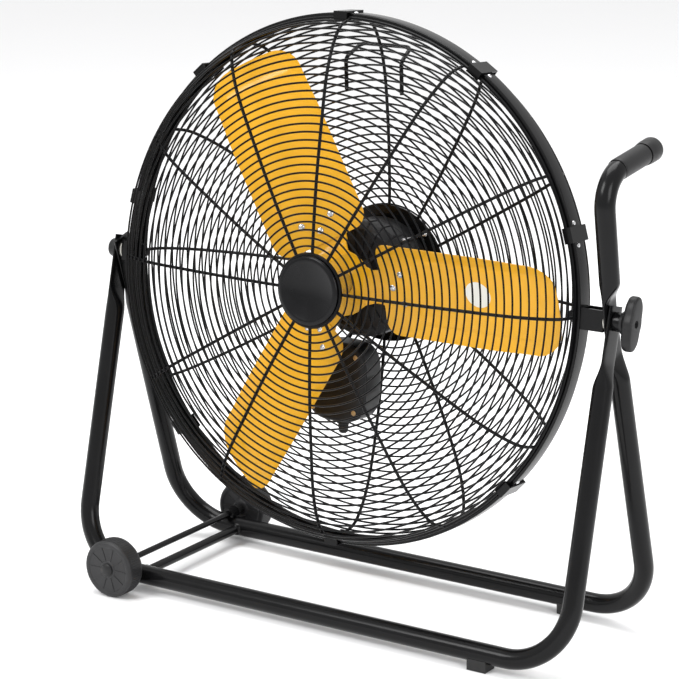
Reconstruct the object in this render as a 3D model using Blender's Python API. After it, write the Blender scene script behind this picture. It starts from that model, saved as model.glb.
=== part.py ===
"""High-velocity floor fan on a rolling, tilting stand of bent tube.

World frame: metres, +Z up, +X towards the side with the clamp knob and the hand grip,
-Y towards the air outlet. The origin lies on the floor, under the middle of the base.
The head is modelled about its tilt pivot, with its own Y along the fan axis, and is
carried by an empty that tips it back a little.
"""

import math

import bmesh
import bpy
from mathutils import Vector

# Stand
TUBE_RADIUS = 0.0125
TUBE_WALL = 0.0013
TUBE_SIDES = 12
BASE_HALF_DEPTH = 0.112
BASE_HEIGHT = 0.021
STAND_X = 0.008
LEG_X = 0.364
BEND_RADIUS = 0.080
BEND_STEPS = 6
PIVOT_Y = -0.008
PIVOT_HEIGHT = 0.426
PLATE_HALF_WIDTH = 0.0160
PLATE_THICKNESS = 0.0040
PLATE_REACH = 0.018
FLAT_REACH = 0.046
TAPER_LENGTH = 0.036
GAP = 0.0003
CENTRE_X = -0.015

# Hand grip, a continuation of the rear loop above the right pivot
GRIP_FLAT_REACH = 0.022
GRIP_TAPER = 0.028
GRIP_LEAN = math.radians(10)
GRIP_RISE = math.radians(7)
GRIP_CORNER = 0.178
GRIP_BEND = 0.040
GRIP_LENGTH = 0.124
CAP_LENGTH = 0.024
CAP_WALL = 0.0022

# Wheels
WHEEL_RADIUS = 0.038
WHEEL_HALF_WIDTH = 0.0145
WHEEL_X = -0.274
WHEEL_Y = 0.148
AXLE_RADIUS = 0.004
AXLE_END = WHEEL_Y + 0.0175
BRACE_X = -0.257
BRACE_RADIUS = 0.006
FOOT_X = 0.258

# Head
HEAD_TILT = math.radians(4)
RIM_RADIUS = 0.335
RIM_HALF_WIDTH = 0.0115
RIM_WALL = 0.0016
RIM_FLANGE = 0.0075
WIRE = 0.004
GUARD_COLUMNS = 24
FRONT_GUARD = ((0.3290, -0.0142), (0.3160, -0.0420), (0.2700, -0.0630),
               (0.1950, -0.0740), (0.1200, -0.0810), (0.0450, -0.0840))
REAR_GUARD = ((0.3290, 0.0142), (0.3160, 0.0440), (0.2700, 0.0690),
              (0.1950, 0.0845), (0.1200, 0.0932), (0.0780, 0.0952))
CLIP_ANGLES = (92, 57, 17, -42, -90, -138, 167, 132)
BADGE_RADIUS = 0.0435
HANDLE_X = -0.021

# Rotor
BLADE_COUNT = 3
BLADE_TIP = 0.306
BLADE_ROOT = 0.056
BLADE_HALF_CHORD = 0.0630
BLADE_PITCH = math.radians(20)
BLADE_CAMBER = 0.007
PANEL_EDGE = 0.48
BLADE_COLUMNS = (-1.0, -0.84, -0.66, -PANEL_EDGE, 0.0, PANEL_EDGE, 0.66, 0.84, 1.0)
BLADE_THICKNESS = 0.0014
BLADE_Y = -0.014
SPIDER_THICKNESS = 0.0025
SPIDER_Y = -0.0120
TWIST_START = 0.031
TWIST_END = 0.0495
SHAFT_RADIUS = 0.006
BORE_RADIUS = 0.00635

# Motor
MOTOR_RADIUS = 0.074
MOTOR_FRONT = 0.020
MOTOR_SPLIT = 0.0545
MOTOR_REAR = 0.0885
SHEET = 0.002
BEARING_RADIUS = 0.016
MOUNT_RADIUS = 0.088

# Control box, behind the rotor and below the motor
BOX_ANGLE = math.radians(-105)
BOX_DISTANCE = 0.1450
BOX_HALF_WIDTH = 0.045
BOX_HALF_HEIGHT = 0.052
BOX_FRONT = 0.034
BOX_SPLIT = 0.041
BOX_REAR = 0.079

# Pivot stack: distances from the middle of the stand, the same on both sides
BRACKET_OUTER = LEG_X - 0.0065
INNER_PLATE = LEG_X - 0.0043
OUTER_PLATE = LEG_X + 0.0001
STACK_END = LEG_X + 0.0044
SPACER_END = STACK_END + 0.010
KNOB_END = LEG_X + 0.032
CAP_NUT_END = LEG_X + 0.018
BOLT_RADIUS = 0.004
BOLT_HOLE = 0.0046
KNOB_HUB = 0.0145
KNOB_WING = 0.0185
KNOB_TURN = math.radians(78)

AXIS_X = Vector((1, 0, 0))
AXIS_Y = Vector((0, 1, 0))
AXIS_Z = Vector((0, 0, 1))


def clear_scene():
    for obj in list(bpy.data.objects):
        bpy.data.objects.remove(obj, do_unlink=True)


def material(name, color, roughness, metallic=0.0):
    mat = bpy.data.materials.new(name)
    mat.use_nodes = True
    shader = mat.node_tree.nodes["Principled BSDF"]
    shader.inputs["Base Color"].default_value = (*color, 1.0)
    shader.inputs["Roughness"].default_value = roughness
    shader.inputs["Metallic"].default_value = metallic
    return mat


def empty(name, location, rotation=(0.0, 0.0, 0.0), parent=None):
    obj = bpy.data.objects.new(name, None)
    obj.location = location
    obj.rotation_euler = rotation
    obj.parent = parent
    bpy.context.scene.collection.objects.link(obj)
    return obj


def add(name, bm, mat, parent=None, smooth=30):
    """One object from a closed bmesh, with its normals turned outwards."""
    bmesh.ops.recalc_face_normals(bm, faces=bm.faces)
    mesh = bpy.data.meshes.new(name)
    bm.to_mesh(mesh)
    bm.free()
    mesh.materials.append(mat)
    mesh.shade_smooth()
    mesh.set_sharp_from_angle(angle=math.radians(smooth))
    obj = bpy.data.objects.new(name, mesh)
    obj.parent = parent
    bpy.context.scene.collection.objects.link(obj)
    return obj


def across(axis):
    """Two unit vectors that make a right-handed frame with the axis."""
    helper = AXIS_Z if abs(axis.z) < 0.9 else AXIS_X
    first = axis.cross(helper).normalized()
    return first, axis.cross(first)


def turned(outline, axis=AXIS_Y, centre=(0, 0, 0), steps=24):
    """Spins an outline of (radius, distance along the axis) points round the axis.

    The outline is a closed ring, or an open line when both its ends lie on the axis.
    """
    bm = bmesh.new()
    centre = Vector(centre)
    side, _ = across(axis)
    verts = [bm.verts.new(centre + side * r + axis * d) for r, d in outline]
    edges = [bm.edges.new(pair) for pair in zip(verts, verts[1:])]
    if outline[0][0] > 0:
        edges.append(bm.edges.new((verts[-1], verts[0])))
    bmesh.ops.spin(bm, geom=verts + edges, cent=centre, axis=axis, angle=math.tau,
                   steps=steps, use_merge=True)
    bmesh.ops.remove_doubles(bm, verts=bm.verts, dist=1e-6)
    return bm


def rod(radius, start, end, axis=AXIS_Y, centre=(0, 0, 0), steps=16, chamfer=0.0):
    outline = [(0, start), (radius - chamfer, start), (radius, start + chamfer),
               (radius, end - chamfer), (radius - chamfer, end), (0, end)]
    if chamfer == 0.0:
        outline = [(0, start), (radius, start), (radius, end), (0, end)]
    return turned(outline, axis, centre, steps)


def sleeve(inner, outer, start, end, axis=AXIS_Y, centre=(0, 0, 0), steps=24):
    outline = [(inner, start), (outer, start), (outer, end), (inner, end)]
    return turned(outline, axis, centre, steps)


def lofted(rings, bore=None):
    """Skins a list of equal rings of points and closes both ends.

    With a second list of rings, the bore, the solid is a pipe with open ends.
    """
    bm = bmesh.new()
    skins = []
    for skin in (rings, bore or []):
        loops = [[bm.verts.new(point) for point in ring] for ring in skin]
        for low, high in zip(loops, loops[1:]):
            bridge(bm, low, high)
        skins.append(loops)
    for end in (0, -1):
        if bore:
            bridge(bm, skins[0][end], skins[1][end])
        else:
            bm.faces.new(skins[0][end])
    return bm


def bridge(bm, low, high):
    for i in range(len(low)):
        j = (i + 1) % len(low)
        bm.faces.new((low[i], low[j], high[j], high[i]))


def extruded(outlines, start, end, place):
    """Fills the first outline, less the holes in the others, and gives it thickness.

    place(u, v, w) gives the point for outline coordinates u, v at depth w.
    """
    bm = bmesh.new()
    edges = []
    for outline in outlines:
        verts = [bm.verts.new(place(u, v, start)) for u, v in outline]
        for i, vert in enumerate(verts):
            edges.append(bm.edges.new((vert, verts[(i + 1) % len(verts)])))
    bmesh.ops.triangle_fill(bm, edges=edges, use_beauty=True)
    grown = bmesh.ops.extrude_face_region(bm, geom=bm.faces[:])
    shift = Vector(place(0, 0, end)) - Vector(place(0, 0, start))
    moved = [item for item in grown["geom"] if isinstance(item, bmesh.types.BMVert)]
    bmesh.ops.translate(bm, verts=moved, vec=shift)
    return bm


def circle(radius, steps, centre=(0.0, 0.0)):
    turn = math.tau / steps
    return [(centre[0] + radius * math.cos(i * turn), centre[1] + radius * math.sin(i * turn))
            for i in range(steps)]


def cut(obj, bm, parent=None):
    """Takes the solid in bm out of the object."""
    cutter = add(obj.name + "_cutter", bm, obj.data.materials[0], parent)
    cutter.hide_render = True
    cutter.display_type = "WIRE"
    modifier = obj.modifiers.new("cut", "BOOLEAN")
    modifier.operation = "DIFFERENCE"
    modifier.solver = "EXACT"
    modifier.object = cutter


def arc(centre, start, end, radius, steps):
    """Points of a circular arc between two unit vectors that leave its centre."""
    turn = start.angle(end)
    points = []
    for i in range(steps + 1):
        t = turn * i / steps
        side = (start * math.sin(turn - t) + end * math.sin(t)) / math.sin(turn)
        points.append(centre + side * radius)
    return points


def rounded_corner(before, corner, after, radius, steps=BEND_STEPS):
    """The arc that takes the place of a sharp corner in a path."""
    back = (before - corner).normalized()
    on = (after - corner).normalized()
    half = back.angle(on) / 2
    middle = corner + (back + on).normalized() * (radius / math.sin(half))
    first = corner + back * (radius / math.tan(half))
    last = corner + on * (radius / math.tan(half))
    return arc(middle, (first - middle).normalized(), (last - middle).normalized(), radius, steps)


def tube_along(points, shape, side, sides=TUBE_SIDES):
    """Sweeps a section along the points, from a first direction for its wide side.

    shape(i) gives the half width, the half thickness and a shift along X, so that a
    stretch of the tube can be pressed flat against a plane of constant X.
    """
    outer, inner = [], []
    for i, point in enumerate(points):
        ahead = (points[min(i + 1, len(points) - 1)] - points[max(i - 1, 0)]).normalized()
        turned_side = AXIS_X.cross(ahead)
        if turned_side.length > 0.01:
            turned_side.normalize()
            side = turned_side if turned_side.dot(side) > 0 else -turned_side
        thick = ahead.cross(side)
        half_width, half_thick, shift = shape(i)
        middle = point + AXIS_X * shift
        for ring, wall in ((outer, 0.0), (inner, TUBE_WALL)):
            loop = []
            for k in range(sides):
                turn = math.tau * (k + 0.5) / sides
                u = math.cos(turn) * (half_width - wall)
                v = math.sin(turn) * (half_thick - wall)
                loop.append(middle + side * u + thick * v)
            ring.append(loop)
    return lofted(outer, inner)


def flattening(distance, reach=FLAT_REACH, taper=TAPER_LENGTH):
    """How flat the tube is at a distance from a pivot: 1 in the plate, 0 in the round tube."""
    t = (distance - reach) / taper
    t = min(max(t, 0.0), 1.0)
    return 1 - t * t * (3 - 2 * t)


def loop_points(base_y, pivot):
    """A base loop's centreline from its left end to just past its right pivot."""
    lift = (Vector((0, pivot.y, pivot.z)) - Vector((0, base_y, BASE_HEIGHT)))
    up = lift.normalized()
    left = STAND_X - LEG_X
    right = STAND_X + LEG_X
    top_left = Vector((left, pivot.y, pivot.z))
    top_right = Vector((right, pivot.y, pivot.z))
    low_left = Vector((left, base_y, BASE_HEIGHT))
    low_right = Vector((right, base_y, BASE_HEIGHT))
    offsets = (PLATE_REACH, 0.0, -FLAT_REACH, -FLAT_REACH - TAPER_LENGTH / 3,
               -FLAT_REACH - TAPER_LENGTH * 2 / 3, -FLAT_REACH - TAPER_LENGTH)
    points = [top_left + up * d for d in offsets]
    points += rounded_corner(top_left, low_left, low_right, BEND_RADIUS)
    points += rounded_corner(low_left, low_right, top_right, BEND_RADIUS)
    points += [top_right + up * d for d in reversed(offsets)]
    return points


def base_loop(name, base_y, plate_start, mat, with_grip):
    """One bent tube of the stand, with its ends pressed flat at the pivots."""
    pivot = Vector((0, PIVOT_Y, PIVOT_HEIGHT))
    points = loop_points(base_y, pivot)
    right = Vector((STAND_X + LEG_X, PIVOT_Y, PIVOT_HEIGHT))
    shift = plate_start + PLATE_THICKNESS / 2 - LEG_X
    if with_grip:
        points.pop()
        upward = Vector((0, -math.sin(GRIP_LEAN), math.cos(GRIP_LEAN)))
        backward = Vector((0, math.cos(GRIP_RISE), math.sin(GRIP_RISE)))
        corner = right + upward * GRIP_CORNER
        for d in (GRIP_FLAT_REACH, GRIP_FLAT_REACH + GRIP_TAPER / 2, GRIP_FLAT_REACH + GRIP_TAPER):
            points.append(right + upward * d)
        points += rounded_corner(right, corner, corner + backward, GRIP_BEND)
        points.append(corner + backward * GRIP_LENGTH)

    def shape(i):
        point = points[i]
        away = (Vector((0, point.y, point.z)) - pivot).length
        flat = flattening(away)
        if point.z > PIVOT_HEIGHT:
            flat = flattening(away, GRIP_FLAT_REACH, GRIP_TAPER)
        half_width = TUBE_RADIUS + (PLATE_HALF_WIDTH - TUBE_RADIUS) * flat
        half_thick = TUBE_RADIUS + (PLATE_THICKNESS / 2 - TUBE_RADIUS) * flat
        return half_width, half_thick, shift * flat * math.copysign(1, point.x - STAND_X)

    loop = add(name, tube_along(points, shape, AXIS_Y), mat, smooth=50)
    bore = [rod(BOLT_HOLE, -0.02, 0.02, AXIS_X, (STAND_X + side * LEG_X, PIVOT_Y, PIVOT_HEIGHT))
            for side in (-1, 1)]
    for bm in bore:
        cut(loop, bm)
    return points[-1], points[-2]


def stand(mats):
    base_loop("front_base_tube", -BASE_HALF_DEPTH, OUTER_PLATE, mats["tube"], False)
    end, before = base_loop("rear_base_tube", BASE_HALF_DEPTH, INNER_PLATE, mats["tube"], True)
    along = (end - before).normalized()
    inner = TUBE_RADIUS + GAP
    outer = inner + CAP_WALL
    cap = [(0, CAP_WALL + GAP), (outer - 0.003, CAP_WALL + GAP), (outer, -0.0005),
           (outer, -CAP_LENGTH), (inner, -CAP_LENGTH), (inner, GAP), (0, GAP)]
    add("grip_end_cap", turned(cap, along, end), mats["plastic"])

    reach = BASE_HALF_DEPTH - TUBE_RADIUS - GAP
    brace = rod(BRACE_RADIUS, -reach, reach, AXIS_Y, (BRACE_X, 0, BASE_HEIGHT), 12)
    add("cross_brace", brace, mats["tube"])
    for name, side in (("front", -1), ("rear", 1)):
        foot = box((FOOT_X - 0.013, FOOT_X + 0.013),
                   (side * BASE_HALF_DEPTH - 0.011, side * BASE_HALF_DEPTH + 0.011),
                   (0.0, 0.0155))
        foot = add("foot_" + name, foot, mats["rubber"])
        cut(foot, rod(TUBE_RADIUS + GAP, -0.02, 0.02, AXIS_X,
                      (FOOT_X, side * BASE_HALF_DEPTH, BASE_HEIGHT), 24))
        add("axle_saddle_" + name, saddle(side * BASE_HALF_DEPTH), mats["tube"])


def box(xs, ys, zs):
    corners = [(xs[0], ys[0]), (xs[1], ys[0]), (xs[1], ys[1]), (xs[0], ys[1])]
    return lofted([[Vector((x, y, z)) for x, y in corners] for z in zs])


def saddle(y):
    """An arched strap that holds the axle down on a base tube."""
    inner = AXLE_RADIUS + 0.0006
    outer = inner + 0.0035
    foot = BASE_HEIGHT + TUBE_RADIUS + 3 * GAP
    half = [(math.cos(math.pi * i / 8), math.sin(math.pi * i / 8)) for i in range(9)]
    outline = [(WHEEL_X + outer, foot)]
    outline += [(WHEEL_X + outer * c, WHEEL_RADIUS + outer * s) for c, s in half]
    outline += [(WHEEL_X - outer, foot), (WHEEL_X - inner, foot)]
    outline += [(WHEEL_X - inner * c, WHEEL_RADIUS + inner * s) for c, s in half]
    outline += [(WHEEL_X + inner, foot)]
    return extruded([outline], y - 0.008, y + 0.008, lambda u, v, w: (u, w, v))


def wheels(mats):
    centre = (WHEEL_X, 0, WHEEL_RADIUS)
    add("wheel_axle", rod(AXLE_RADIUS, -AXLE_END, AXLE_END, AXIS_Y, centre, 16), mats["zinc"])
    for name, side in (("front", -1), ("rear", 1)):
        hub = empty("wheel_pivot_" + name, (WHEEL_X, side * WHEEL_Y, WHEEL_RADIUS))
        half = WHEEL_HALF_WIDTH
        web = half - 0.005
        face = [(AXLE_RADIUS + 0.0004, -half), (0.011, -half), (0.012, -web), (0.028, -web),
                (0.030, -half), (WHEEL_RADIUS - 0.003, -half), (WHEEL_RADIUS, -half + 0.004)]
        outline = face + [(r, -d) for r, d in reversed(face)]
        add("wheel_" + name, turned(outline, AXIS_Y, (0, 0, 0), 32), mats["wheel"], hub)
        inner = BASE_HALF_DEPTH + 0.0085
        outer = WHEEL_Y - half - GAP
        span = sorted((side * inner, side * outer))
        spacer = sleeve(AXLE_RADIUS + 0.0004, 0.0068, span[0], span[1], AXIS_Y, centre, 16)
        add("axle_spacer_" + name, spacer, mats["plastic"])
        start = WHEEL_Y + half + GAP
        cap = [(0, AXLE_END + 0.0022), (0.0058, AXLE_END + 0.0020), (0.0085, start + 0.0012),
               (0.0085, start), (AXLE_RADIUS + GAP, start), (AXLE_RADIUS + GAP, AXLE_END + GAP),
               (0, AXLE_END + GAP)]
        cap = [(r, side * d) for r, d in cap]
        add("axle_cap_" + name, turned(cap, AXIS_Y, centre, 16), mats["zinc"])


def rim_band(mats, head):
    inner = RIM_RADIUS - RIM_WALL
    lip = RIM_RADIUS - RIM_FLANGE
    half = RIM_HALF_WIDTH
    outline = [(RIM_RADIUS - 0.001, -half), (RIM_RADIUS, -half + 0.0015),
               (RIM_RADIUS, half - 0.0015), (RIM_RADIUS - 0.001, half), (lip, half),
               (lip, half - RIM_WALL), (inner, half - RIM_WALL), (inner, RIM_WALL - half),
               (lip, RIM_WALL - half), (lip, -half)]
    add("rim_band", turned(outline, AXIS_Y, (0, 0, 0), 64), mats["tube"], head)


def guard(name, profile, mats, head):
    """A wire cage: the edges of a dished polar grid, each made a square wire."""
    bm = bmesh.new()
    rings = []
    for radius, depth in profile:
        ring = []
        for i in range(GUARD_COLUMNS):
            turn = math.tau * (i + 0.5) / GUARD_COLUMNS
            ring.append(bm.verts.new((radius * math.cos(turn), depth, radius * math.sin(turn))))
        rings.append(ring)
    for low, high in zip(rings, rings[1:]):
        for i in range(GUARD_COLUMNS):
            j = (i + 1) % GUARD_COLUMNS
            bm.faces.new((low[i], low[j], high[j], high[i]))
    cage = add(name, bm, mats["wire"], head)
    wires = cage.modifiers.new("wires", "WIREFRAME")
    wires.thickness = WIRE
    wires.use_boundary = True
    wires.use_even_offset = True
    wires.use_replace = True


def guard_clips(mats, head):
    """Straps round the rim that hold both guards to it."""
    edge = 0.0190
    wall = 0.002
    low = 0.3260
    back = RIM_RADIUS + GAP
    outline = [(-edge, low), (-edge, back + wall), (edge, back + wall), (edge, low),
               (edge - wall, low), (edge - wall, back), (wall - edge, back), (wall - edge, low)]
    for number, degrees in enumerate(CLIP_ANGLES, 1):
        turn = math.radians(degrees)
        out = Vector((math.cos(turn), 0, math.sin(turn)))
        side = Vector((-math.sin(turn), 0, math.cos(turn)))

        def place(u, v, w):
            return AXIS_Y * u + out * v + side * w

        add(f"guard_clip_{number}", extruded([outline], -0.0095, 0.0095, place), mats["tube"], head)


def badge(mats, head):
    """The plain round plate at the front, and the plate behind the wires that holds it."""
    front = -0.0905
    back = front + 0.004
    boss = -0.0818
    outline = [(0, front + 0.0012), (0.0360, front + 0.0012), (0.0375, front),
               (0.0410, front), (BADGE_RADIUS, front + 0.0015), (BADGE_RADIUS, back),
               (0.0300, back), (0.0300, boss), (0, boss)]
    add("hub_badge", turned(outline, AXIS_Y, (0, 0, 0), 32), mats["gloss"], head)
    plate = rod(0.0420, boss + GAP, boss + GAP + 0.0015, AXIS_Y, (0, 0, 0), 32)
    add("badge_backplate", plate, mats["tube"], head)


def rear_handle(mats, head):
    """A bent rod on the upper rear guard, to lift the fan by."""
    half = 0.041
    radius = 0.0026
    left, right = HANDLE_X - half, HANDLE_X + half
    knots = [Vector((left, 0.0850, 0.2320)), Vector((left, 0.0790, 0.2720)),
             Vector((left + 0.004, 0.1050, 0.2880)), Vector((right - 0.004, 0.1050, 0.2880)),
             Vector((right, 0.0790, 0.2720)), Vector((right, 0.0850, 0.2320))]
    points = [knots[0]]
    for before, corner, after in zip(knots, knots[1:], knots[2:]):
        points += rounded_corner(before, corner, after, 0.009, 3)
    points.append(knots[-1])
    rings = []
    for i, point in enumerate(points):
        ahead = (points[min(i + 1, len(points) - 1)] - points[max(i - 1, 0)]).normalized()
        side = ahead.cross(Vector((0, 0.9, 0.43))).normalized()
        rest = side.cross(ahead)
        rings.append([point + side * (radius * c) + rest * (radius * s)
                      for c, s in circle(1.0, 8)])
    add("rear_carry_handle", lofted(rings), mats["wire"], head)


def pivots(mats, head):
    """Brackets on the rim, the tilt bolts, and what clamps them to the stand."""
    half = 0.0110
    wall = 0.0025
    for name, side in (("right", 1), ("left", -1)):
        def at(distance):
            return STAND_X + side * distance

        inner = side * (RIM_RADIUS + GAP + 0.0002)
        outer = at(BRACKET_OUTER)
        outer_loop = [(inner, -half), (outer, -half), (outer, half), (inner, half)]
        near, far = inner + side * wall, outer - side * wall
        hole = [(near, -half + wall), (far, -half + wall), (far, half - wall), (near, half - wall)]
        section = extruded([outer_loop, hole], -0.0130, 0.0130, lambda u, v, w: (u, v, w))
        bracket = add("rim_bracket_" + name, section, mats["tube"], head)
        span = sorted((outer - side * 0.0055, outer + side * 0.0055))
        cut(bracket, rod(BOLT_HOLE, span[0], span[1], AXIS_X), head)

        gusset = rim_gusset(side)
        add("pivot_gusset_" + name, gusset, mats["tube"], head)

        seat = BRACKET_OUTER - wall - GAP
        reach = (KNOB_END if side > 0 else CAP_NUT_END) - 0.0045
        bolt = [(0, seat - 0.0045), (0.0055, seat - 0.0045), (0.008, seat - 0.0025), (0.008, seat),
                (BOLT_RADIUS, seat), (BOLT_RADIUS, reach), (0, reach)]
        bolt = [(r, at(d)) for r, d in bolt]
        add("tilt_bolt_" + name, turned(bolt, AXIS_X, (0, 0, 0), 16), mats["zinc"], head)

        span = sorted((at(BRACKET_OUTER + GAP), at(INNER_PLATE - GAP)))
        washer = sleeve(BOLT_HOLE, 0.0125, span[0], span[1], AXIS_X, (0, 0, 0), 20)
        add("friction_washer_" + name, washer, mats["nylon"], head)


def rim_gusset(side):
    """A plate against the inside of the rim with a tapering web that stiffens it."""
    base = RIM_RADIUS - RIM_WALL - 0.0012
    plate = base - 0.0025
    tip = base - 0.0200
    tee = [(base, -0.0090), (base, 0.0090), (plate, 0.0090), (plate, 0.00125),
           (tip, 0.00125), (tip, -0.00125), (plate, -0.00125), (plate, -0.0090)]
    bm = extruded([tee], -0.0140, 0.0140, lambda u, v, w: (side * u, v, w))
    for vert in bm.verts:
        if abs(vert.co.x) < tip + 1e-5:
            vert.co.z *= 0.25
    return bm


def tilt_knob(mats, head):
    """Two-winged clamp knob on the right bolt, and the spacer under it."""
    spacer = sleeve(BOLT_HOLE, 0.0115, STAND_X + STACK_END + GAP, STAND_X + SPACER_END, AXIS_X,
                    (0, 0, 0), 20)
    add("clamp_spacer", spacer, mats["tube"], head)
    start = STAND_X + SPACER_END + GAP
    end = STAND_X + KNOB_END
    wing_start = end - 0.0125
    steps = 48
    stations = [(start, 0.0, 0.94), (wing_start - 0.001, 0.0, 1.0), (wing_start + 0.0015, 1.0, 0.96),
                (end - 0.0025, 1.0, 1.0), (end, 1.0, 0.90)]
    rings = []
    for x, winged, size in stations:
        ring = []
        for i in range(steps):
            turn = math.tau * i / steps
            wing = KNOB_WING * abs(math.cos(turn - KNOB_TURN)) ** 5
            radius = size * (KNOB_HUB + winged * wing)
            ring.append(Vector((x, radius * math.cos(turn), radius * math.sin(turn))))
        rings.append(ring)
    bore = [[Vector((x, BOLT_HOLE * v.y / v.yz.length, BOLT_HOLE * v.z / v.yz.length))
             for v in ring] for (x, _, _), ring in zip(stations, rings)]
    axis = empty("tilt_knob_axis", (0, 0, 0), parent=head)
    add("tilt_knob", lofted(rings, bore), mats["plastic"], axis)


def pivot_cap(mats, head):
    """Domed cap nut on the left tilt bolt."""
    start = STACK_END + GAP
    reach = CAP_NUT_END - 0.0045 + GAP
    outline = [(0, reach), (BOLT_HOLE, reach), (BOLT_HOLE, start), (0.0125, start),
               (0.0125, CAP_NUT_END - 0.005), (0.0100, CAP_NUT_END - 0.0012),
               (0.0055, CAP_NUT_END), (0, CAP_NUT_END)]
    outline = [(r, STAND_X - d) for r, d in outline]
    add("pivot_cap_nut", turned(outline, AXIS_X, (0, 0, 0), 20), mats["plastic"], head)


def motor(mats, head):
    seat = BEARING_RADIUS + GAP
    lug = seat + 0.003
    r = MOTOR_RADIUS
    w = SHEET
    front = [(BORE_RADIUS + 0.002, MOTOR_FRONT), (0.022, MOTOR_FRONT), (0.026, MOTOR_FRONT + 0.004),
             (r - 0.010, MOTOR_FRONT + 0.004), (r, MOTOR_FRONT + 0.014), (r, MOTOR_SPLIT - GAP),
             (r - w, MOTOR_SPLIT - GAP), (r - w, MOTOR_FRONT + 0.015),
             (r - 0.011, MOTOR_FRONT + 0.004 + w), (lug, MOTOR_FRONT + 0.004 + w),
             (lug, MOTOR_FRONT + 0.013), (seat, MOTOR_FRONT + 0.013), (seat, MOTOR_FRONT + w),
             (BORE_RADIUS + 0.002, MOTOR_FRONT + w)]
    add("motor_front_cover", turned(front, AXIS_Y, (0, 0, 0), 32), mats["motor"], head)
    back = MOTOR_REAR
    rear = [(0, back), (r - 0.010, back), (r, back - 0.010), (r, MOTOR_SPLIT), (r - w, MOTOR_SPLIT),
            (r - w, back - 0.011), (r - 0.011, back - w), (lug, back - w), (lug, back - 0.014),
            (seat, back - 0.014), (seat, back - w), (0, back - w)]
    add("motor_rear_cover", turned(rear, AXIS_Y, (0, 0, 0), 32), mats["motor"], head)
    add("stator", sleeve(0.0455, r - w - 0.0005, 0.0370, 0.0740, AXIS_Y), mats["steel"], head)
    front_seat = MOTOR_FRONT + w + GAP
    rear_seat = back - w - GAP
    add("front_bearing", sleeve(BORE_RADIUS, BEARING_RADIUS, front_seat, front_seat + 0.010),
        mats["steel"], head)
    add("rear_bearing", sleeve(BORE_RADIUS, BEARING_RADIUS, rear_seat - 0.010, rear_seat),
        mats["steel"], head)
    plate_start = back + GAP
    plate = extruded([circle(MOUNT_RADIUS, 48), circle(0.030, 24)], plate_start, plate_start + 0.0025,
                     lambda u, v, w: (u, w, v))
    add("motor_mount_plate", plate, mats["tube"], head)


def rotor(mats, head):
    axis = empty("fan_axis", (0, 0, 0), parent=head)
    add("motor_shaft", rod(SHAFT_RADIUS, -0.050, 0.0850, chamfer=0.001), mats["zinc"], axis)
    core = sleeve(BORE_RADIUS, 0.0445, 0.0380, 0.0730)
    add("rotor_core", core, mats["steel"], axis)
    seat = SPIDER_Y + SPIDER_THICKNESS + GAP
    hub = [(BORE_RADIUS, -0.046), (0.0135, -0.046), (0.0150, -0.0445), (0.0150, seat),
           (0.0300, seat), (0.0300, seat + 0.004), (0.0180, seat + 0.004), (0.0180, 0.008),
           (BORE_RADIUS, 0.008)]
    add("hub_bushing", turned(hub), mats["zinc"], axis)
    spider(mats, axis)
    for number in range(BLADE_COUNT):
        blade(number, mats, axis)


def spider(mats, axis):
    """Pressed plate with three waisted arms that the blades are riveted to."""
    arm = [(0.025, -0.0330), (0.034, -0.0245), (0.044, -0.0215), (0.054, -0.0230),
           (0.066, -0.0280), (0.092, -0.0280), (0.098, -0.0220), (0.098, 0.0220),
           (0.092, 0.0280), (0.066, 0.0280), (0.054, 0.0230), (0.044, 0.0215),
           (0.034, 0.0245), (0.025, 0.0330)]
    outline = []
    for number in range(BLADE_COUNT):
        turn = math.tau * number / BLADE_COUNT
        for u, v in arm:
            outline.append((u * math.cos(turn) - v * math.sin(turn),
                            u * math.sin(turn) + v * math.cos(turn)))
    bm = extruded([outline, circle(0.0155, 18)], SPIDER_Y, SPIDER_Y + SPIDER_THICKNESS,
                  lambda u, v, w: (u, w, v))
    for number in range(BLADE_COUNT):
        turn = math.tau * number / BLADE_COUNT
        out = Vector((math.cos(turn), 0, math.sin(turn)))
        for reach in (TWIST_START, TWIST_END):
            bmesh.ops.bisect_plane(bm, geom=bm.verts[:] + bm.edges[:] + bm.faces[:],
                                   plane_co=out * reach, plane_no=out)
    bmesh.ops.triangulate(bm, faces=bm.faces)
    slope = math.tan(BLADE_PITCH)
    seat = BLADE_Y + (BLADE_CAMBER + BLADE_THICKNESS / 2 + GAP) / math.cos(BLADE_PITCH)
    for vert in bm.verts:
        reach, across_arm = arm_frame(vert.co)
        twist = min(max((reach - TWIST_START) / (TWIST_END - TWIST_START), 0.0), 1.0)
        vert.co.y += twist * (seat - SPIDER_Y - across_arm * slope)
    add("blade_spider", bm, mats["blade"], axis)


def arm_frame(point):
    """Distance out along the nearest arm, and the distance across it."""
    best = None
    for number in range(BLADE_COUNT):
        turn = math.tau * number / BLADE_COUNT
        reach = point.x * math.cos(turn) + point.z * math.sin(turn)
        side = point.z * math.cos(turn) - point.x * math.sin(turn)
        if best is None or reach > best[0]:
            best = (reach, side)
    return best


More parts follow.
